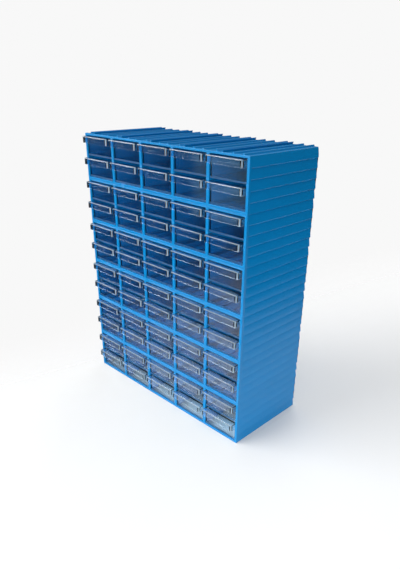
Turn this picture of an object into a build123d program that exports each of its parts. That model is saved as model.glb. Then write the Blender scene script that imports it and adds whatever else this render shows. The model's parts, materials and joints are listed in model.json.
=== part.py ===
"""Stacked small-parts organizer: six housings, each with two rows of five clear pull-out drawers.

Millimetres, +Z up. The drawers open towards -Y. The origin is on the surface that the stack stands on,
below the middle of its box.
"""

from build123d import *
import os

# Driving dimensions of the stack
COLUMNS = 5
MODULES = 6
ROWS_PER_MODULE = 2
COLUMN_PITCH = 60.0  # from one divider to the next
MODULE_HEIGHT = 62.0  # each housing adds this much to the stack
DEPTH = 130.0  # of a housing, from its front frame to its back

# Front frame: the flat face that the drawers look out of
SIDE_FLANGE = 3.7  # width of the frame at the two outer edges
DIVIDER_FLANGE = 4.6  # width of the frame in front of each divider
FRAME_DEPTH = 4.0
TOP_BAR = 2.6
BOTTOM_BAR = 2.9

# Walls of a housing
DIVIDER_WALL = 2.0
BACK_WALL = 1.8
SIDE_WALL = 1.2
SIDE_RECESS = 0.2  # the crests of the side walls stand this far in from the edges of the frame
LAPS = 5  # lapped waves up each side wall, which run from front to back
LAP_DEPTH = 1.8
LAP_LIP = 1.6  # height of the short lip under each crest

# Runner rails that carry the drawers
RAIL_REACH = 1.5  # how far a rail stands into the mouth of its bay
RAIL_THICKNESS = 1.2
RAIL_GAP = 0.4  # below the drawer
RAIL_START = 0.8  # behind the face of the frame

# Top deck and its stacking ribs
DECK = 1.3
DECK_TOP = 61.7
RIB_TOP = 2.4  # height of the tallest ribs above the module height
BUMP_TOP = 1.6
EAR_WALL = 1.5
EAR_LEAN = 1.5
BUMP_FOOT = 3.2
BUMP_CREST = 1.8
EAR_LEFT = 14.3  # places of the ribs' feet across one column, from the divider on its left
EAR_RIGHT = 20.6
BUMP_MIDDLE = 37.4
BUMP_RIGHT = 52.4
SLOT_CLEARANCE = 0.15  # around a rib, in the slots of the housing above

# Drawers
DRAWER_CLEARANCE = 0.4  # each side, in the mouth of the bay
DRAWER_HEIGHT = 26.0
DRAWER_LENGTH = 124.0
DRAWER_WALL = 1.5
DRAWER_RECESS = 1.6  # the front wall stands this far behind the frame
DRAWER_FLOORS = (3.4, 32.4)  # heights of the undersides in a module, lower row first
HANDLE_REACH = 9.6  # in front of the drawer's front wall
HANDLE_DROP = 8.4
HANDLE_WALL = 1.4
HANDLE_CORNER = 3.0
HANDLE_BEVEL = 0.8

# Worked out from the above
BAY_WIDTH = COLUMN_PITCH - DIVIDER_FLANGE
WIDTH = COLUMNS * BAY_WIDTH + (COLUMNS - 1) * DIVIDER_FLANGE + 2 * SIDE_FLANGE
DRAWER_WIDTH = BAY_WIDTH - 2 * DRAWER_CLEARANCE
HANDLE_OVERHANG = HANDLE_REACH - DRAWER_RECESS
FRONT = -(DEPTH - HANDLE_OVERHANG) / 2  # Y of the frame's face, with the whole box centred on the origin
BACK = FRONT + DEPTH
DRAWER_FRONT = FRONT + DRAWER_RECESS
ROWS = MODULES * ROWS_PER_MODULE
LAP_PITCH = MODULE_HEIGHT / LAPS


def columns_from_left():
    """X of the middle of each column of drawers."""
    return [(column - (COLUMNS - 1) / 2) * COLUMN_PITCH for column in range(COLUMNS)]


def lap_offset(height):
    """How far the slope of the side wall stands in from its crests at a height in the housing."""
    return LAP_DEPTH * (height % LAP_PITCH) / (LAP_PITCH - LAP_LIP)


def side_face(inset):
    """Line up the right-hand side, following the laps, this far in from the crests' outer face."""
    crest = WIDTH / 2 - SIDE_RECESS - inset
    points = []
    for lap in range(LAPS):
        points.append((crest, lap * LAP_PITCH))
        points.append((crest - LAP_DEPTH, (lap + 1) * LAP_PITCH - LAP_LIP))
    # The topmost lip is the lower edge of the housing above
    points[-1] = (crest - LAP_DEPTH, MODULE_HEIGHT)
    return points


def side_wall_outline():
    """Section of the right-hand side wall."""
    return side_face(0) + side_face(SIDE_WALL)[::-1]


def back_wall_outline():
    """The back wall, whose edges lie within the laps of the side walls."""
    right = side_face(SIDE_WALL / 2)
    return right + [(-x, z) for x, z in reversed(right)]


def ear_outline(lean, margin):
    """Section of one half of the split dovetail, from inside the deck to its tip."""
    foot = DECK_TOP - DECK / 2
    tip = MODULE_HEIGHT + RIB_TOP + margin
    half = EAR_WALL / 2 + margin
    return [(-half, foot), (half, foot), (half + lean, tip), (-half + lean, tip)]


def bump_outline(margin):
    """Section of one solid locating rib."""
    foot = DECK_TOP - DECK / 2
    tip = MODULE_HEIGHT + BUMP_TOP + margin
    half = BUMP_FOOT / 2 + margin
    crest = BUMP_CREST / 2 + margin
    return [(-half, foot), (half, foot), (crest, tip), (-crest, tip)]


def rib_outlines(margin):
    """Where each stacking rib stands on the deck, with its section grown by a margin."""
    ribs = []
    for middle in columns_from_left():
        left = middle - COLUMN_PITCH / 2
        ribs.append((left + EAR_LEFT, ear_outline(-EAR_LEAN, margin)))
        ribs.append((left + EAR_RIGHT, ear_outline(EAR_LEAN, margin)))
        ribs.append((left + BUMP_MIDDLE, bump_outline(margin)))
        ribs.append((left + BUMP_RIGHT, bump_outline(margin)))
    return ribs


# One housing, as the lowest of the stack
with BuildPart() as housing:
    # Front frame, with one tall opening for each column
    with BuildSketch(Plane.XZ.offset(-FRONT)):
        with Locations((0, MODULE_HEIGHT / 2)):
            Rectangle(WIDTH, MODULE_HEIGHT)
        with Locations((0, (BOTTOM_BAR + MODULE_HEIGHT - TOP_BAR) / 2)):
            with GridLocations(COLUMN_PITCH, 0, COLUMNS, 1):
                Rectangle(BAY_WIDTH, MODULE_HEIGHT - TOP_BAR - BOTTOM_BAR, mode=Mode.SUBTRACT)
    extrude(amount=-FRAME_DEPTH)
    # Lapped side walls
    with BuildSketch(Plane.XZ.offset(-FRONT - FRAME_DEPTH / 2)):
        Polygon(*side_wall_outline(), align=None)
        mirror(about=Plane.YZ)
    extrude(amount=-(DEPTH - FRAME_DEPTH / 2))
    # Deck over the bays
    with BuildSketch(Plane.XY.offset(DECK_TOP - DECK)):
        with Locations((0, (FRONT + BACK) / 2)):
            Rectangle(WIDTH - 2 * (SIDE_RECESS + LAP_DEPTH), DEPTH)
    extrude(amount=DECK)
    # Dividers
    with BuildSketch(Plane.XY):
        with Locations((0, (FRONT + BACK) / 2)):
            with GridLocations(COLUMN_PITCH, 0, COLUMNS - 1, 1):
                Rectangle(DIVIDER_WALL, DEPTH)
    extrude(amount=DECK_TOP - DECK / 2)
    # Back wall
    with BuildSketch(Plane.XZ.offset(-BACK + BACK_WALL)):
        Polygon(*back_wall_outline(), align=None)
    extrude(amount=-BACK_WALL)
    # Runner rails on both faces of each divider and on the side walls, under both rows of drawers
    for drawer_floor in DRAWER_FLOORS:
        with BuildSketch(Plane.XY.offset(drawer_floor - RAIL_GAP - RAIL_THICKNESS)):
            with Locations((0, (FRONT + RAIL_START + BACK) / 2)):
                with GridLocations(COLUMN_PITCH, 0, COLUMNS - 1, 1):
                    Rectangle(DIVIDER_FLANGE + 2 * RAIL_REACH, DEPTH - RAIL_START)
            inner_end = WIDTH / 2 - SIDE_FLANGE - RAIL_REACH
            rail_middle = drawer_floor - RAIL_GAP - RAIL_THICKNESS / 2
            outer_end = WIDTH / 2 - SIDE_RECESS - lap_offset(rail_middle) - SIDE_WALL / 2
            with Locations((inner_end, FRONT + RAIL_START)):
                Rectangle(outer_end - inner_end, DEPTH - RAIL_START, align=(Align.MIN, Align.MIN))
            mirror(about=Plane.YZ)
        extrude(amount=RAIL_THICKNESS)
    # Stacking ribs, from front to back
    with BuildSketch(Plane.XZ.offset(-FRONT)):
        for place, outline in rib_outlines(0):
            with Locations((place, 0)):
                Polygon(*outline, align=None)
    extrude(amount=-DEPTH)
    # Slots through the lower edges of the frame and the back wall, for the ribs of the housing below
    with BuildSketch(Plane.XZ.offset(-FRONT)):
        for place, outline in rib_outlines(SLOT_CLEARANCE):
            with Locations((place, -MODULE_HEIGHT)):
                Polygon(*outline, align=None)
    extrude(amount=-DEPTH, mode=Mode.SUBTRACT)

# One drawer: an open tray with a hood-shaped pull across the top of its front wall
with BuildPart() as drawer:
    with BuildSketch(Plane.XY):
        Rectangle(DRAWER_WIDTH, DRAWER_LENGTH, align=(Align.CENTER, Align.MIN))
    extrude(amount=DRAWER_HEIGHT)
    with BuildSketch(Plane.XY.offset(DRAWER_WALL)):
        with Locations((0, DRAWER_WALL)):
            Rectangle(
                DRAWER_WIDTH - 2 * DRAWER_WALL,
                DRAWER_LENGTH - 2 * DRAWER_WALL,
                align=(Align.CENTER, Align.MIN),
            )
    extrude(amount=DRAWER_HEIGHT, mode=Mode.SUBTRACT)
    # The pull, with rounded front corners
    with BuildSketch(Plane.XY.offset(DRAWER_HEIGHT - HANDLE_DROP)) as pull:
        Rectangle(DRAWER_WIDTH, HANDLE_REACH, align=(Align.CENTER, Align.MAX))
        fillet(pull.vertices().group_by(Axis.Y)[0], radius=HANDLE_CORNER)
    extrude(amount=HANDLE_DROP)
    chamfer(drawer.faces().sort_by(Axis.Z)[-1].edges().sort_by(Axis.Y)[0], length=HANDLE_BEVEL)
    # Finger room, open downwards
    with BuildSketch(Plane.XY.offset(DRAWER_HEIGHT - HANDLE_DROP)) as finger_room:
        Rectangle(
            DRAWER_WIDTH - 2 * HANDLE_WALL,
            HANDLE_REACH - HANDLE_WALL,
            align=(Align.CENTER, Align.MAX),
        )
        fillet(finger_room.vertices().group_by(Axis.Y)[0], radius=HANDLE_CORNER - HANDLE_WALL)
    extrude(amount=HANDLE_DROP - HANDLE_WALL, mode=Mode.SUBTRACT)


def save(shape, name):
    """Writes one sub-part under its own name."""
    shape.label = name
    export_step(shape, f"parts/{name}.step")


def placed_drawer(row, column):
    """A drawer in its closed place. Row 0 is the top row and column 0 the left one."""
    module, level = divmod(ROWS - 1 - row, ROWS_PER_MODULE)
    height = module * MODULE_HEIGHT + DRAWER_FLOORS[level]
    return drawer.part.moved(Location((columns_from_left()[column], DRAWER_FRONT, height)))


os.makedirs("parts", exist_ok=True)

# The six housings rest on each other by their rims and stay separate solids
stack = [housing.part.moved(Location((0, 0, module * MODULE_HEIGHT))) for module in range(MODULES)]
save(Compound(children=stack), "stacked_housings")

# Each drawer is a node of its own, apart from the first two of the bottom row, which share one
for row in range(ROWS):
    for column in range(COLUMNS):
        if row < ROWS - 1 or column > 1:
            save(placed_drawer(row, column), f"drawer_row{row + 1:02d}_col{column + 1}")
save(
    Compound(children=[placed_drawer(ROWS - 1, 0), placed_drawer(ROWS - 1, 1)]),
    f"drawers_row{ROWS:02d}_col1_and_col2",
)
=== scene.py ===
"""Looks of the stacked parts organizer: blue ribbed housings with clear pull-out drawers."""

import json
from itertools import product
from math import radians

import bmesh
import bpy
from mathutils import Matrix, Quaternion, Vector


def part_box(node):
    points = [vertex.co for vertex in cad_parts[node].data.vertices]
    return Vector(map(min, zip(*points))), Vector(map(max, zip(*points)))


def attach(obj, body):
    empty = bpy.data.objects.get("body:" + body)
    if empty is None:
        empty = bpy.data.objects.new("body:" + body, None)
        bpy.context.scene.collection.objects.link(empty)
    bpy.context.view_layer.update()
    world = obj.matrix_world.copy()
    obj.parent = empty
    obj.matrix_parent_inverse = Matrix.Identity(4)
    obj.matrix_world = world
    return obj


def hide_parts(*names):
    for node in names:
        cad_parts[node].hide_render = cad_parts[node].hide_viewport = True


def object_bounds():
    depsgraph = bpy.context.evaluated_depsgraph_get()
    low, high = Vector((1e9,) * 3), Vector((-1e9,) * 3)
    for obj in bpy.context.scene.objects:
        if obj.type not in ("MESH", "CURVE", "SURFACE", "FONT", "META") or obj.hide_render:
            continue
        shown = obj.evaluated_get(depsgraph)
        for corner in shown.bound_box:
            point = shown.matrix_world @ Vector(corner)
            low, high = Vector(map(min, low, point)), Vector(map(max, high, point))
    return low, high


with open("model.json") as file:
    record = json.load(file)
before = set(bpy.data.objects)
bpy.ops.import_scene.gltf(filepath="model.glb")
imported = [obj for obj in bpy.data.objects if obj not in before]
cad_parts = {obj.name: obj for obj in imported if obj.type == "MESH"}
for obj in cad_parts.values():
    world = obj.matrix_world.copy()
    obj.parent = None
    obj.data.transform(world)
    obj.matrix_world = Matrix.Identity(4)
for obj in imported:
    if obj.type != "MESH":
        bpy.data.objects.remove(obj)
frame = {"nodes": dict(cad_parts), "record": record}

bl_info = {
    "name": "Parts Organizer",
    "version": (1, 0, 0),
    "blender": (4, 5, 0),
    "location": "3D View > Sidebar > Organizer",
    "description": "Builds a stack of housings with clear drawers around a packed model",
    "category": "Object",
}

MM = 0.001
TOLERANCE = 0.01 * MM
OVERLAP = 1 * MM  # how far joined blocks reach into each other, and hollows past the faces they open

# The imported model's own places
CAD_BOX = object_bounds()
HOUSINGS_NODE = "stacked_housings"
HOUSINGS_LOW, HOUSINGS_HIGH = (Vector(corner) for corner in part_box(HOUSINGS_NODE))
DRAWER_NODES = sorted(name for name in frame["nodes"] if name != HOUSINGS_NODE)
BODY_OF = {node: body for body, nodes in frame["record"]["behaviour"]["bodies"].items() for node in nodes}

COLUMNS = 5
MODULES = 6
TOP_DRAWER = Vector(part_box("drawer_row01_col1")[0])
MODULE_HEIGHT = TOP_DRAWER.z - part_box("drawer_row03_col1")[0][2]
COLUMN_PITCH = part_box("drawer_row01_col2")[0][0] - TOP_DRAWER.x
HALF_WIDTH = HOUSINGS_HIGH.x
FRONT = HOUSINGS_LOW.y
BACK = HOUSINGS_HIGH.y
DRAWER_WIDTH, DRAWER_REACH, DRAWER_HEIGHT = Vector(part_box("drawer_row01_col1")[1]) - TOP_DRAWER

# Front frame and walls of a housing, as in the part's own design
SIDE_FLANGE = 3.7 * MM
DIVIDER_FLANGE = 4.6 * MM
FRAME_DEPTH = 4 * MM
TOP_BAR = 2.6 * MM
BOTTOM_BAR = 2.9 * MM
DIVIDER_WALL = 2 * MM
BACK_WALL = 1.8 * MM
SIDE_WALL = 1.2 * MM
SIDE_RECESS = 0.2 * MM
LAPS = 5
LAP_DEPTH = 1.8 * MM

# Fine relief of the side walls, as it looks
LAP_LIP = 0.7 * MM  # height of the short slope under the crest of each lap
LAP_CURVE = 1.4  # a lap leans in slowly at first, as its height raised to this power
LAP_STEPS = 4
SEAM_GAP = 0.5 * MM  # between one housing's side wall and the next

# Runner rails, as in the part's own design
RAIL_REACH = 1.5 * MM
RAIL_THICKNESS = 1.2 * MM
RAIL_GAP = 0.4 * MM
RAIL_START = 0.8 * MM

# Deck and its ribs, as in the part's own design
DECK = 1.3 * MM
DECK_TOP = MODULE_HEIGHT - 0.3 * MM
DECK_MIDDLE = DECK_TOP - DECK / 2
RIB_TOP = 2.4 * MM
BUMP_TOP = 1.6 * MM
EAR_WALL = 1.5 * MM
EAR_LEAN = 1.5 * MM
EAR_LEFT = 14.3 * MM
EAR_RIGHT = 20.6 * MM
BUMP_MIDDLE = 37.4 * MM
BUMP_RIGHT = 52.4 * MM
BUMP_FOOT = 3.2 * MM
BUMP_CREST = 1.8 * MM
RIB_END = 0.1 * MM

# Drawer, as in the part's own design
DRAWER_WALL = 1.5 * MM
HANDLE_REACH = 9.6 * MM
HANDLE_DROP = 8.4 * MM
HANDLE_WALL = 1.4 * MM
HANDLE_CORNER = 3 * MM

# Fine relief of the drawer, which only the looks have
HANDLE_BEVEL = 0.5 * MM
STRIP_PROUD = 0.3 * MM
STRIP_HEIGHT = 2.1 * MM
GRIPS = 5
GRIP_PITCH = 2.4 * MM
GRIP_WIDTH = 1 * MM
GRIP_HEIGHT = 4.6 * MM
GRIP_FOOT = 1.8 * MM  # above the lower edge of the pull
GRIP_PROUD = 0.35 * MM

# Places of the milky materials on the drawer's mesh, after its clear one: the etched strip, and the rounded
# edges whose milky colour is painted glint
STRIP_SLOT, GLINT_EDGE_SLOT = 1, 2

SMOOTH_ANGLE = radians(40)  # edges sharper than this are rounded, softer ones are shaded smooth
FLOOR_REACH = 6  # from the middle of the floor to each of its edges


def linear_colour(hex_code):
    """An sRGB hex colour as the linear RGBA that shaders take."""
    channels = [int(hex_code[i:i + 2], 16) / 255 for i in (1, 3, 5)]
    return [c / 12.92 if c <= 0.04045 else ((c + 0.055) / 1.055) ** 2.4 for c in channels] + [1.0]


# ------------------------------------------------------------------ materials


def add_node(tree, kind, links=None, **settings):
    """Adds a shader node, sets its properties and sockets, and links other nodes' outputs into it."""
    node = tree.nodes.new(kind)
    for name, value in settings.items():
        if hasattr(node, name):
            setattr(node, name, value)
        else:
            node.inputs[name.replace("_", " ")].default_value = value
    for socket, source in (links or {}).items():
        tree.links.new(source, node.inputs[socket])
    return node


def new_material(name):
    """An empty material and its node tree."""
    material = bpy.data.materials.new(name)
    material.use_nodes = True
    material.node_tree.nodes.clear()
    return material, material.node_tree


def blue_polystyrene(colour):
    """High-impact polystyrene coloured in the mass, injection-moulded against a fine satin tool.

    An even, saturated blue with a soft sheen. It shows faint flow shading along the walls and a very
    fine grain, which breaks up the highlights on the long flat faces.
    """
    material, tree = new_material("blue_impact_polystyrene_moulded_satin")
    place = add_node(tree, "ShaderNodeTexCoord")
    # Flow shading is stretched along the depth, the way the melt ran
    stretched = add_node(
        tree, "ShaderNodeMapping", {"Vector": place.outputs["Object"]}, Scale=(1 / 0.05, 1 / 0.16, 1 / 0.05)
    )
    flow = add_node(tree, "ShaderNodeTexNoise", {"Vector": stretched.outputs["Vector"]}, Scale=1, Detail=2)
    shade = add_node(tree, "ShaderNodeMapRange", {"Value": flow.outputs["Fac"]}, To_Min=0.93, To_Max=1.06)
    tint = add_node(tree, "ShaderNodeVectorMath", {"Scale": shade.outputs["Result"]}, operation="SCALE")
    tint.inputs[0].default_value = colour[:3]
    roughness = add_node(tree, "ShaderNodeMapRange", {"Value": flow.outputs["Fac"]}, To_Min=0.2, To_Max=0.3)
    # Fine grain, 1.2 mm across, whose height is a small part of 0.05 mm
    grain = add_node(
        tree, "ShaderNodeTexNoise", {"Vector": place.outputs["Object"]}, Scale=1 / (1.2 * MM), Detail=1
    )
    bump = add_node(
        tree, "ShaderNodeBump", {"Height": grain.outputs["Fac"]}, Strength=0.12, Distance=0.05 * MM
    )
    shader = add_node(
        tree,
        "ShaderNodeBsdfPrincipled",
        {
            "Base Color": tint.outputs["Vector"],
            "Roughness": roughness.outputs["Result"],
            "Normal": bump.outputs["Normal"],
        },
        IOR=1.57,
        Specular_IOR_Level=0.3,
    )
    add_node(tree, "ShaderNodeOutputMaterial", {"Surface": shader.outputs["BSDF"]})
    return material


def crystal_polystyrene(colour):
    """General-purpose crystal polystyrene, injection-moulded against a polished tool.

    Water-clear with a high index, so that edges and rounded corners flash white and thick sections
    darken to grey-blue. Lamps shine through it, as they do through a thin clear wall.
    """
    material, tree = new_material("clear_crystal_polystyrene_moulded_polished")
    clear = add_node(
        tree, "ShaderNodeBsdfPrincipled", Base_Color=colour, Roughness=0.05, IOR=1.59, Transmission_Weight=1
    )
    lit_through = add_node(tree, "ShaderNodeBsdfTransparent")
    rays = add_node(tree, "ShaderNodeLightPath")
    surface = add_node(
        tree,
        "ShaderNodeMixShader",
        {0: rays.outputs["Is Shadow Ray"], 1: clear.outputs["BSDF"], 2: lit_through.outputs["BSDF"]},
    )
    add_node(tree, "ShaderNodeOutputMaterial", {"Surface": surface.outputs["Shader"]})
    return material


def etched_strip_and_glint_polystyrene(name, colour, clearness):
    """Crystal polystyrene with a milky colour. It serves the lower strip, moulded where the tool was etched,
    and the pull's rounded edges, where the colour is painted glint.

    On the strip the fine etching scatters light, so it looks milky beside the clear walls. On the rounded
    edges the milky colour paints the white glints and bright outlines that the lamps would make on clear
    corners.
    Clearness is the share of light that still passes through, and the rest shows the colour.
    """
    material, tree = new_material(name)
    shader = add_node(
        tree,
        "ShaderNodeBsdfPrincipled",
        Base_Color=colour,
        Roughness=0.3,
        IOR=1.59,
        Transmission_Weight=clearness,
    )
    add_node(tree, "ShaderNodeOutputMaterial", {"Surface": shader.outputs["BSDF"]})
    return material


def pale_paper(colour, reach, dark_side, dark_reach):
    """Matt studio paper, an even, pale surface with no sheen, which fades out into the pale studio.

    It fades between the two distances of reach all round, and sooner towards the studio's dark side,
    where dark_reach holds the two distances.
    """
    material, tree = new_material("pale_matt_paper")
    shader = add_node(
        tree, "ShaderNodeBsdfPrincipled", Base_Color=colour, Roughness=0.9, Specular_IOR_Level=0.1
    )
    place = add_node(tree, "ShaderNodeTexCoord")
    away = add_node(tree, "ShaderNodeVectorMath", {0: place.outputs["Object"]}, operation="LENGTH")
    aside = add_node(tree, "ShaderNodeVectorMath", {0: place.outputs["Object"]}, operation="DOT_PRODUCT")
    aside.inputs[1].default_value = dark_side
    fades = [
        add_node(
            tree,
            "ShaderNodeMapRange",
            {"Value": distance.outputs["Value"]},
            interpolation_type="SMOOTHSTEP",
            From_Min=near,
            From_Max=far,
        )
        for distance, (near, far) in ((away, reach), (aside, dark_reach))
    ]
    both = {socket: node.outputs["Result"] for socket, node in enumerate(fades)}
    fade = add_node(tree, "ShaderNodeMath", both, operation="MAXIMUM")
    air = add_node(tree, "ShaderNodeBsdfTransparent")
    surface = add_node(
        tree,
        "ShaderNodeMixShader",
        {0: fade.outputs["Value"], 1: shader.outputs["BSDF"], 2: air.outputs["BSDF"]},
    )
    add_node(tree, "ShaderNodeOutputMaterial", {"Surface": surface.outputs["Shader"]})
    return material


# ------------------------------------------------------------------ mesh tools


def add_blocks(mesh, blocks, hollows=()):
    """Adds the outer skin of a union of upright blocks, less the hollows, as one closed surface.

    Each block is a pair of corners. Space is cut along every block's planes, and a face is made
    wherever a filled cell meets an empty one.
    """
    planes = [sorted({round(c[axis], 7) for box in (*blocks, *hollows) for c in box}) for axis in range(3)]
    corners = {}

    def holds(boxes, middle):
        return any(all(low[i] < middle[i] < high[i] for i in range(3)) for low, high in boxes)

    def is_filled(cell):
        middle = [(planes[a][cell[a]] + planes[a][cell[a] + 1]) / 2 for a in range(3)]
        return holds(blocks, middle) and not holds(hollows, middle)

    def corner(index):
        if index not in corners:
            corners[index] = mesh.verts.new([planes[a][index[a]] for a in range(3)])
        return corners[index]

    cells = product(*(range(len(places) - 1) for places in planes))
    filled = {cell for cell in cells if is_filled(cell)}
    made = []
    for cell, axis, side in product(sorted(filled), range(3), (0, 1)):
        beside = list(cell)
        beside[axis] += 1 if side else -1
        if tuple(beside) in filled:
            continue
        across, up = (axis + 1) % 3, (axis + 2) % 3
        ring = []
        for step_across, step_up in ((0, 0), (1, 0), (1, 1), (0, 1)):
            index = list(cell)
            index[axis] += side
            index[across] += step_across
            index[up] += step_up
            ring.append(corner(tuple(index)))
        made.append(mesh.faces.new(ring if side else ring[::-1]))
    edges = list({edge for face in made for edge in face.edges})
    verts = list({vert for face in made for vert in face.verts})
    bmesh.ops.dissolve_limit(mesh, angle_limit=radians(1), verts=verts, edges=edges)


def add_run(mesh, outline, front, back):
    """Adds a closed bar with this XZ outline, running from front to back."""
    rings = [[mesh.verts.new((x, y, z)) for x, z in outline] for y in (front, back)]
    count = len(outline)
    faces = [
        mesh.faces.new((rings[0][i], rings[0][(i + 1) % count], rings[1][(i + 1) % count], rings[1][i]))
        for i in range(count)
    ]
    faces.append(mesh.faces.new(rings[0][::-1]))
    faces.append(mesh.faces.new(rings[1]))
    bmesh.ops.recalc_face_normals(mesh, faces=faces)


def new_piece(name, mesh, material, bevel):
    """Turns a bmesh into an object with rounded edges and smooth shading across its soft curves."""
    data = bpy.data.meshes.new(name)
    mesh.to_mesh(data)
    mesh.free()
    data.materials.append(material)
    data.shade_smooth()
    data.set_sharp_from_angle(angle=SMOOTH_ANGLE)
    piece = bpy.data.objects.new(name, data)
    bpy.context.scene.collection.objects.link(piece)
    rounding = piece.modifiers.new("rounded_edges", "BEVEL")
    rounding.width = bevel
    rounding.segments = 2
    rounding.limit_method = "ANGLE"
    rounding.angle_limit = SMOOTH_ANGLE
    rounding.use_clamp_overlap = True
    rounding.harden_normals = True
    return piece


# ------------------------------------------------------------------ housings


def column_middles():
    """X of the middle of each column of drawers, from the left."""
    return [(column - (COLUMNS - 1) / 2) * COLUMN_PITCH for column in range(COLUMNS)]


def side_line(inset):
    """Line up the right-hand side of one housing: laps that lean in towards their top, with short lips."""
    crest = HALF_WIDTH - SIDE_RECESS - inset
    pitch = MODULE_HEIGHT / LAPS
    points = []
    for lap in range(LAPS):
        points.append((crest, lap * pitch))
        for step in range(1, LAP_STEPS + 1):
            share = step / LAP_STEPS
            height = lap * pitch + share * (pitch - LAP_LIP)
            points.append((crest - LAP_DEPTH * share ** LAP_CURVE, height))
    # The topmost lip is the lower edge of the housing above
    points[-1] = (crest - LAP_DEPTH, MODULE_HEIGHT - SEAM_GAP)
    return points


def add_ribs(mesh):
    """The split dovetails and locating ribs on the deck, from front to back."""
    front, back = FRONT + RIB_END, BACK - RIB_END
    foot = DECK_MIDDLE
    for middle in column_middles():
        left = middle - COLUMN_PITCH / 2
        half, tip = EAR_WALL / 2, MODULE_HEIGHT + RIB_TOP
        for x, lean in ((left + EAR_LEFT, -EAR_LEAN), (left + EAR_RIGHT, EAR_LEAN)):
            outline = [(x - half, foot), (x + half, foot), (x + half + lean, tip), (x - half + lean, tip)]
            add_run(mesh, outline, front, back)
        base, crest, tip = BUMP_FOOT / 2, BUMP_CREST / 2, MODULE_HEIGHT + BUMP_TOP
        for x in (left + BUMP_MIDDLE, left + BUMP_RIGHT):
            outline = [(x - base, foot), (x + base, foot), (x + crest, tip), (x - crest, tip)]
            add_run(mesh, outline, front, back)


def add_front_frame(mesh):
    """The frame around the mouths of the bays, each one bay for two rows of drawers."""
    frame_back = FRONT + FRAME_DEPTH
    half_bay = (COLUMN_PITCH - DIVIDER_FLANGE) / 2
    mouths = []
    for middle in column_middles():
        low = (middle - half_bay, FRONT - OVERLAP, BOTTOM_BAR)
        high = (middle + half_bay, frame_back, MODULE_HEIGHT - TOP_BAR)
        mouths.append((low, high))
    add_blocks(mesh, [((-HALF_WIDTH, FRONT, 0), (HALF_WIDTH, frame_back, MODULE_HEIGHT))], mouths)


def rail_blocks(left, right):
    """A runner rail under each row of drawers, between these two X."""
    floors = [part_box(node)[0][2] for node in ("drawer_row12_col3", "drawer_row11_col3")]
    tops = [floor - RAIL_GAP for floor in floors]
    start, end = FRONT + RAIL_START, BACK - BACK_WALL / 2
    return [((left, start, top - RAIL_THICKNESS), (right, end, top)) for top in tops]


def add_dividers(mesh):
    """The walls between the columns, each with its rails on both sides."""
    start, end = FRONT + FRAME_DEPTH - OVERLAP, BACK - BACK_WALL / 2
    half_wall = DIVIDER_WALL / 2
    reach = DIVIDER_FLANGE / 2 + RAIL_REACH
    for middle in column_middles()[:-1]:
        x = middle + COLUMN_PITCH / 2
        wall = ((x - half_wall, start, 0), (x + half_wall, end, DECK_MIDDLE))
        add_blocks(mesh, [wall, *rail_blocks(x - reach, x + reach)])


def add_sides(mesh):
    """The lapped side walls and the rails along their insides."""
    for side in (-1, 1):
        inner = HALF_WIDTH - SIDE_FLANGE - RAIL_REACH
        outer = HALF_WIDTH - SIDE_RECESS - LAP_DEPTH - SIDE_WALL / 2
        for rail in rail_blocks(*sorted((side * inner, side * outer))):
            add_blocks(mesh, [rail])
        outer_line = [(side * x, z) for x, z in side_line(0)]
        inner_line = [(side * x, z) for x, z in side_line(SIDE_WALL)]
        add_run(mesh, outer_line + inner_line[::-1], FRONT + FRAME_DEPTH - OVERLAP, BACK)


def add_back_wall(mesh):
    """The wall that closes the back, between the side walls."""
    right = side_line(SIDE_WALL)
    left = [(-x, z) for x, z in right]
    add_run(mesh, right + left[::-1], BACK - BACK_WALL, BACK)


def add_deck(mesh):
    """The plate over the bays, which ends inside the side walls."""
    edge = HALF_WIDTH - SIDE_RECESS - LAP_DEPTH - SIDE_WALL / 4
    add_blocks(mesh, [((-edge, FRONT + FRAME_DEPTH - OVERLAP, DECK_TOP - DECK), (edge, BACK, DECK_TOP))])


def add_housing(mesh):
    """One housing, standing at height 0."""
    add_front_frame(mesh)
    add_dividers(mesh)
    add_sides(mesh)
    add_back_wall(mesh)
    add_deck(mesh)
    add_ribs(mesh)


# ------------------------------------------------------------------ drawers


def round_edges(mesh, edges, radius, segments):
    """Rounds these edges and gives back the faces made."""
    if not edges:
        raise RuntimeError("no edge to round")
    made = bmesh.ops.bevel(
        mesh, geom=edges, offset=radius, segments=segments, profile=0.5, affect="EDGES", clamp_overlap=False
    )
    return made["faces"]


def round_uprights(mesh, corners, radius, segments):
    """Rounds the upright edges that stand at these XY corners."""

    def stands_at(edge, corner):
        return all((vert.co.xy - Vector(corner)).length < TOLERANCE for vert in edge.verts)

    edges = [edge for edge in mesh.edges if any(stands_at(edge, corner) for corner in corners)]
    return round_edges(mesh, edges, radius, segments)


def grip_blocks(face, low):
    """Small upright bars in the middle of the pull, proud of its face, for the fingertips."""
    blocks = []
    for grip in range(GRIPS):
        x = (grip - (GRIPS - 1) / 2) * GRIP_PITCH
        left, right = x - GRIP_WIDTH / 2, x + GRIP_WIDTH / 2
        blocks.append(((left, face - GRIP_PROUD, low), (right, face, low + GRIP_HEIGHT)))
    return blocks


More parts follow.
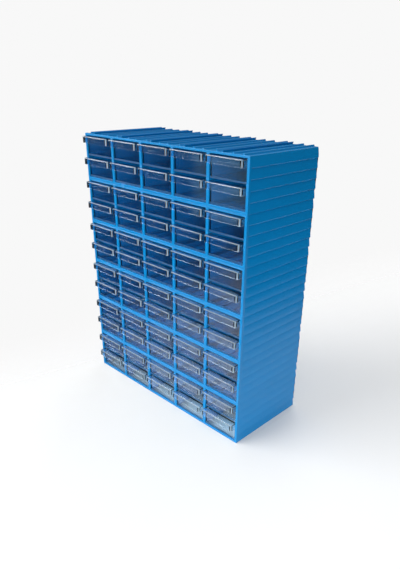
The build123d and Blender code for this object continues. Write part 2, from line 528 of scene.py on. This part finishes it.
def round_pull(mesh, face):
    """Rounds the pull's corners inside and out, and its brow. The outer corners and the brow get the milky
    colour that paints their glints.
    """
    half, inner = DRAWER_WIDTH / 2, DRAWER_WIDTH / 2 - HANDLE_WALL
    inner_face = face + HANDLE_WALL
    corners = round_uprights(mesh, [(-half, face), (half, face)], HANDLE_CORNER, 6)
    round_uprights(mesh, [(-inner, inner_face), (inner, inner_face)], HANDLE_CORNER - HANDLE_WALL, 5)
    # The outer corners' milky colour is painted glint: the white upright glints at the ends of the pull
    for polygon in corners:
        polygon.material_index = GLINT_EDGE_SLOT
    # The brow is the pull's outermost edge along its top
    low = DRAWER_HEIGHT - TOLERANCE
    deepest = face + HANDLE_CORNER + TOLERANCE
    brow = [edge for edge in mesh.edges if all(v.co.z > low and v.co.y < deepest for v in edge.verts)]
    # The brow's milky colour is painted glint along the pull's top edge
    for polygon in round_edges(mesh, brow, HANDLE_BEVEL, 2):
        polygon.material_index = GLINT_EDGE_SLOT


def add_drawer(mesh):
    """One drawer with its pull, its underside at height 0 and its front wall's face at Y 0."""
    half = DRAWER_WIDTH / 2
    length = DRAWER_REACH - HANDLE_REACH
    wall = DRAWER_WALL
    handle_low = DRAWER_HEIGHT - HANDLE_DROP
    face = -HANDLE_REACH + GRIP_PROUD
    tray = ((-half, 0, 0), (half, length, DRAWER_HEIGHT))
    inside = ((-half + wall, wall, wall), (half - wall, length - wall, DRAWER_HEIGHT + OVERLAP))
    pull = ((-half, face, handle_low), (half, 0, DRAWER_HEIGHT))
    finger_room = (
        (-half + HANDLE_WALL, face + HANDLE_WALL, handle_low - OVERLAP),
        (half - HANDLE_WALL, 0, DRAWER_HEIGHT - HANDLE_WALL),
    )
    strip = ((-half, -STRIP_PROUD, 0), (half, 0, STRIP_HEIGHT))
    grips = grip_blocks(face, handle_low + GRIP_FOOT)
    add_blocks(mesh, [tray, pull, strip, *grips], [inside, finger_room])
    round_pull(mesh, face)
    for polygon in mesh.faces:
        middle = polygon.calc_center_median()
        if middle.y < -STRIP_PROUD / 2 and middle.z < STRIP_HEIGHT + TOLERANCE:
            polygon.material_index = STRIP_SLOT


# ------------------------------------------------------------------ stage


def add_area_light(name, place, aim, size, power, colour="#FFFFFF"):
    """A rectangular softbox that faces the point it is aimed at, and that the camera doesn't see."""
    light = bpy.data.lights.new(name, "AREA")
    light.shape = "RECTANGLE"
    light.size, light.size_y = size
    light.energy = power
    light.color = linear_colour(colour)[:3]
    lamp = bpy.data.objects.new(name, light)
    lamp.location = place
    lamp.rotation_mode = "QUATERNION"
    lamp.rotation_quaternion = (Vector(aim) - Vector(place)).to_track_quat("-Z", "Y")
    lamp.visible_camera = False
    bpy.context.scene.collection.objects.link(lamp)
    return lamp


def add_lights():
    """A large key lamp, a small fill, one for the back, and a card that the fronts mirror."""
    middle = (0, 0, CAD_BOX[1][2] / 2)
    add_area_light("key_softbox", place=(-1.35, -1.75, 1.2), aim=middle, size=(2.4, 1.9), power=78)
    fill = add_area_light(
        "fill_softbox",
        place=(1.1, -1.1, 0.4),
        aim=(0, 0, -0.06),
        size=(1.0, 0.6),
        power=1.9,
        colour="#E8F6FF",
    )
    fill.data.spread = radians(55)
    back = add_area_light("back_softbox", place=(-0.7, 1.8, 1.0), aim=middle, size=(1.6, 1.2), power=22)
    back.visible_glossy = False
    card = add_area_light(
        "front_card",
        place=(-0.15, -1.2, 0.2),
        aim=(-0.15, 0, 0.2),
        size=(1.9, 0.6),
        power=1.9,
        colour="#A8D8F0",
    )
    card.visible_diffuse = False


def add_floor(colour):
    """A sheet of paper that the organizer stands on."""
    mesh = bmesh.new()
    bmesh.ops.create_grid(mesh, x_segments=1, y_segments=1, size=FLOOR_REACH)
    data = bpy.data.meshes.new("floor")
    mesh.to_mesh(data)
    mesh.free()
    paper = pale_paper(colour, reach=(0.45, 1.2), dark_side=(-0.98, 0.2, 0), dark_reach=(-0.15, 0.34))
    data.materials.append(paper)
    floor = bpy.data.objects.new("floor", data)
    bpy.context.scene.collection.objects.link(floor)


def add_camera():
    """A camera to the right of the front, looking down at the stack, with a slight roll."""
    camera = bpy.data.cameras.new("camera")
    camera.sensor_width = 36
    camera.lens = 32.4
    camera.shift_x, camera.shift_y = -0.013, 0.068
    holder = bpy.data.objects.new("camera", camera)
    holder.location = (0.5062, FRONT - 0.4281, 0.4450)
    facing = Vector((-0.62535, 0.64906, -0.43320))
    roll = Quaternion((0, 0, 1), radians(0.97))
    holder.rotation_mode = "QUATERNION"
    holder.rotation_quaternion = facing.to_track_quat("-Z", "Y") @ roll
    bpy.context.scene.collection.objects.link(holder)
    bpy.context.scene.camera = holder


def add_world(colour, low, high):
    """A pale backdrop, in a studio that lights softly from above and stays dim around the floor.

    Low and high are the strength of its light from near the horizon and from overhead.
    """
    world = bpy.data.worlds.new("pale_studio")
    world.use_nodes = True
    world.node_tree.nodes.clear()
    tree = world.node_tree
    place = add_node(tree, "ShaderNodeTexCoord")
    height = add_node(tree, "ShaderNodeSeparateXYZ", {"Vector": place.outputs["Generated"]})
    rise = add_node(
        tree,
        "ShaderNodeMapRange",
        {"Value": height.outputs["Z"]},
        From_Min=0.15,
        From_Max=0.9,
        To_Min=low,
        To_Max=high,
    )
    room = add_node(tree, "ShaderNodeBackground", {"Strength": rise.outputs["Result"]}, Color=colour)
    backdrop = add_node(tree, "ShaderNodeBackground", Color=colour)
    rays = add_node(tree, "ShaderNodeLightPath")
    shown = add_node(
        tree,
        "ShaderNodeMixShader",
        {0: rays.outputs["Is Camera Ray"], 1: room.outputs["Background"], 2: backdrop.outputs["Background"]},
    )
    add_node(tree, "ShaderNodeOutputWorld", {"Surface": shown.outputs["Shader"]})
    bpy.context.scene.world = world


# ------------------------------------------------------------------ add-on


COLOUR = {"subtype": "COLOR", "size": 4, "min": 0, "max": 1}


class OrganizerSettings(bpy.types.PropertyGroup):
    """Colours and edge radii that the organizer is built with"""

    housing_colour: bpy.props.FloatVectorProperty(
        name="Housing colour",
        description="Colour of the moulded housings",
        default=linear_colour("#007BB8"),
        **COLOUR,
    )
    drawer_colour: bpy.props.FloatVectorProperty(
        name="Drawer colour",
        description="Faint tint of the clear drawers",
        default=linear_colour("#DEF2FE"),
        **COLOUR,
    )
    strip_colour: bpy.props.FloatVectorProperty(
        name="Etched strip colour",
        description="Milky tint of the strip along the foot of each drawer",
        default=linear_colour("#3490DC"),
        **COLOUR,
    )
    # Colour of the pulls' rounded edges, a painted glint: it stands in for the white glints and outlines of
    # clear corners
    glint_edge_colour: bpy.props.FloatVectorProperty(
        name="Painted glint edge colour",
        description="Milky colour that paints the glints on the rounded edges of each pull",
        default=linear_colour("#C4DCEE"),
        **COLOUR,
    )
    housing_edge: bpy.props.FloatProperty(
        name="Housing edge radius",
        description="Rounding of the moulded edges of the housings",
        unit="LENGTH",
        min=0.0001,
        max=0.001,
        default=0.0004,
    )
    drawer_edge: bpy.props.FloatProperty(
        name="Drawer edge radius",
        description="Rounding of the moulded edges of the drawers",
        unit="LENGTH",
        min=0.0001,
        max=0.0005,
        default=0.0003,
    )
    floor_colour: bpy.props.FloatVectorProperty(
        name="Floor colour",
        description="Colour of the paper that the organizer stands on",
        default=linear_colour("#DCDCDC"),
        **COLOUR,
    )


class ORGANIZER_OT_housings(bpy.types.Operator):
    """Build the stacked housings"""

    bl_idname = "organizer.housings"
    bl_label = "Housings"

    def execute(self, context):
        settings = context.scene.organizer
        material = blue_polystyrene(settings.housing_colour)
        for module in range(MODULES):
            mesh = bmesh.new()
            add_housing(mesh)
            bmesh.ops.translate(mesh, verts=mesh.verts, vec=(0, 0, module * MODULE_HEIGHT))
            piece = new_piece(f"housing_{module + 1}", mesh, material, settings.housing_edge)
            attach(piece, BODY_OF[HOUSINGS_NODE])
            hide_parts(HOUSINGS_NODE)
        return {"FINISHED"}


class ORGANIZER_OT_drawers(bpy.types.Operator):
    """Build the clear drawers, each on its own slide"""

    bl_idname = "organizer.drawers"
    bl_label = "Drawers"

    def execute(self, context):
        settings = context.scene.organizer
        material = crystal_polystyrene(settings.drawer_colour)
        mesh = bmesh.new()
        add_drawer(mesh)
        first = new_piece("clear_drawer", mesh, material, settings.drawer_edge)
        strip = etched_strip_and_glint_polystyrene(
            "clear_crystal_polystyrene_etched_strip", settings.strip_colour, clearness=0.8
        )
        # The pull's rounded edges get a milky colour that paints their glints and bright outlines
        edge = etched_strip_and_glint_polystyrene(
            "clear_crystal_polystyrene_painted_glint_edge", settings.glint_edge_colour, clearness=0.7
        )
        first.data.materials.append(strip)
        first.data.materials.append(edge)
        for node in DRAWER_NODES:
            low, high = (Vector(corner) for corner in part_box(node))
            count = round((high.x - low.x) / COLUMN_PITCH)
            for place in range(count):
                piece = first.copy()
                piece.name = f"clear_{node}" if count == 1 else f"clear_{node}_{place + 1}"
                middle = low.x + DRAWER_WIDTH / 2 + place * COLUMN_PITCH
                piece.location = (middle, low.y + HANDLE_REACH, low.z)
                bpy.context.scene.collection.objects.link(piece)
                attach(piece, BODY_OF[node])
                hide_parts(node)
        bpy.data.objects.remove(first)
        return {"FINISHED"}


class ORGANIZER_OT_stage(bpy.types.Operator):
    """Build the floor, the lights and the camera"""

    bl_idname = "organizer.stage"
    bl_label = "Stage"

    def execute(self, context):
        add_floor(context.scene.organizer.floor_colour)
        add_world(linear_colour("#F8F8F8"), low=0.025, high=1.15)
        add_lights()
        add_camera()
        context.scene.view_settings.view_transform = "Standard"
        return {"FINISHED"}


class ORGANIZER_PT_panel(bpy.types.Panel):
    """Settings of the organizer and buttons that build it"""

    bl_idname = "ORGANIZER_PT_panel"
    bl_label = "Parts Organizer"
    bl_space_type = "VIEW_3D"
    bl_region_type = "UI"
    bl_category = "Organizer"

    def draw(self, context):
        for name in OrganizerSettings.__annotations__:
            self.layout.prop(context.scene.organizer, name)
        for operator in OPERATORS:
            self.layout.operator(operator.bl_idname)


OPERATORS = (ORGANIZER_OT_housings, ORGANIZER_OT_drawers, ORGANIZER_OT_stage)
CLASSES = (OrganizerSettings, *OPERATORS, ORGANIZER_PT_panel)


def register():
    for cls in CLASSES:
        bpy.utils.register_class(cls)
    bpy.types.Scene.organizer = bpy.props.PointerProperty(type=OrganizerSettings)


def unregister():
    del bpy.types.Scene.organizer
    for cls in reversed(CLASSES):
        bpy.utils.unregister_class(cls)


def main():
    """Builds everything."""
    register()
    bpy.ops.organizer.housings()
    bpy.ops.organizer.drawers()
    bpy.ops.organizer.stage()


if __name__ == "__main__":
    main()
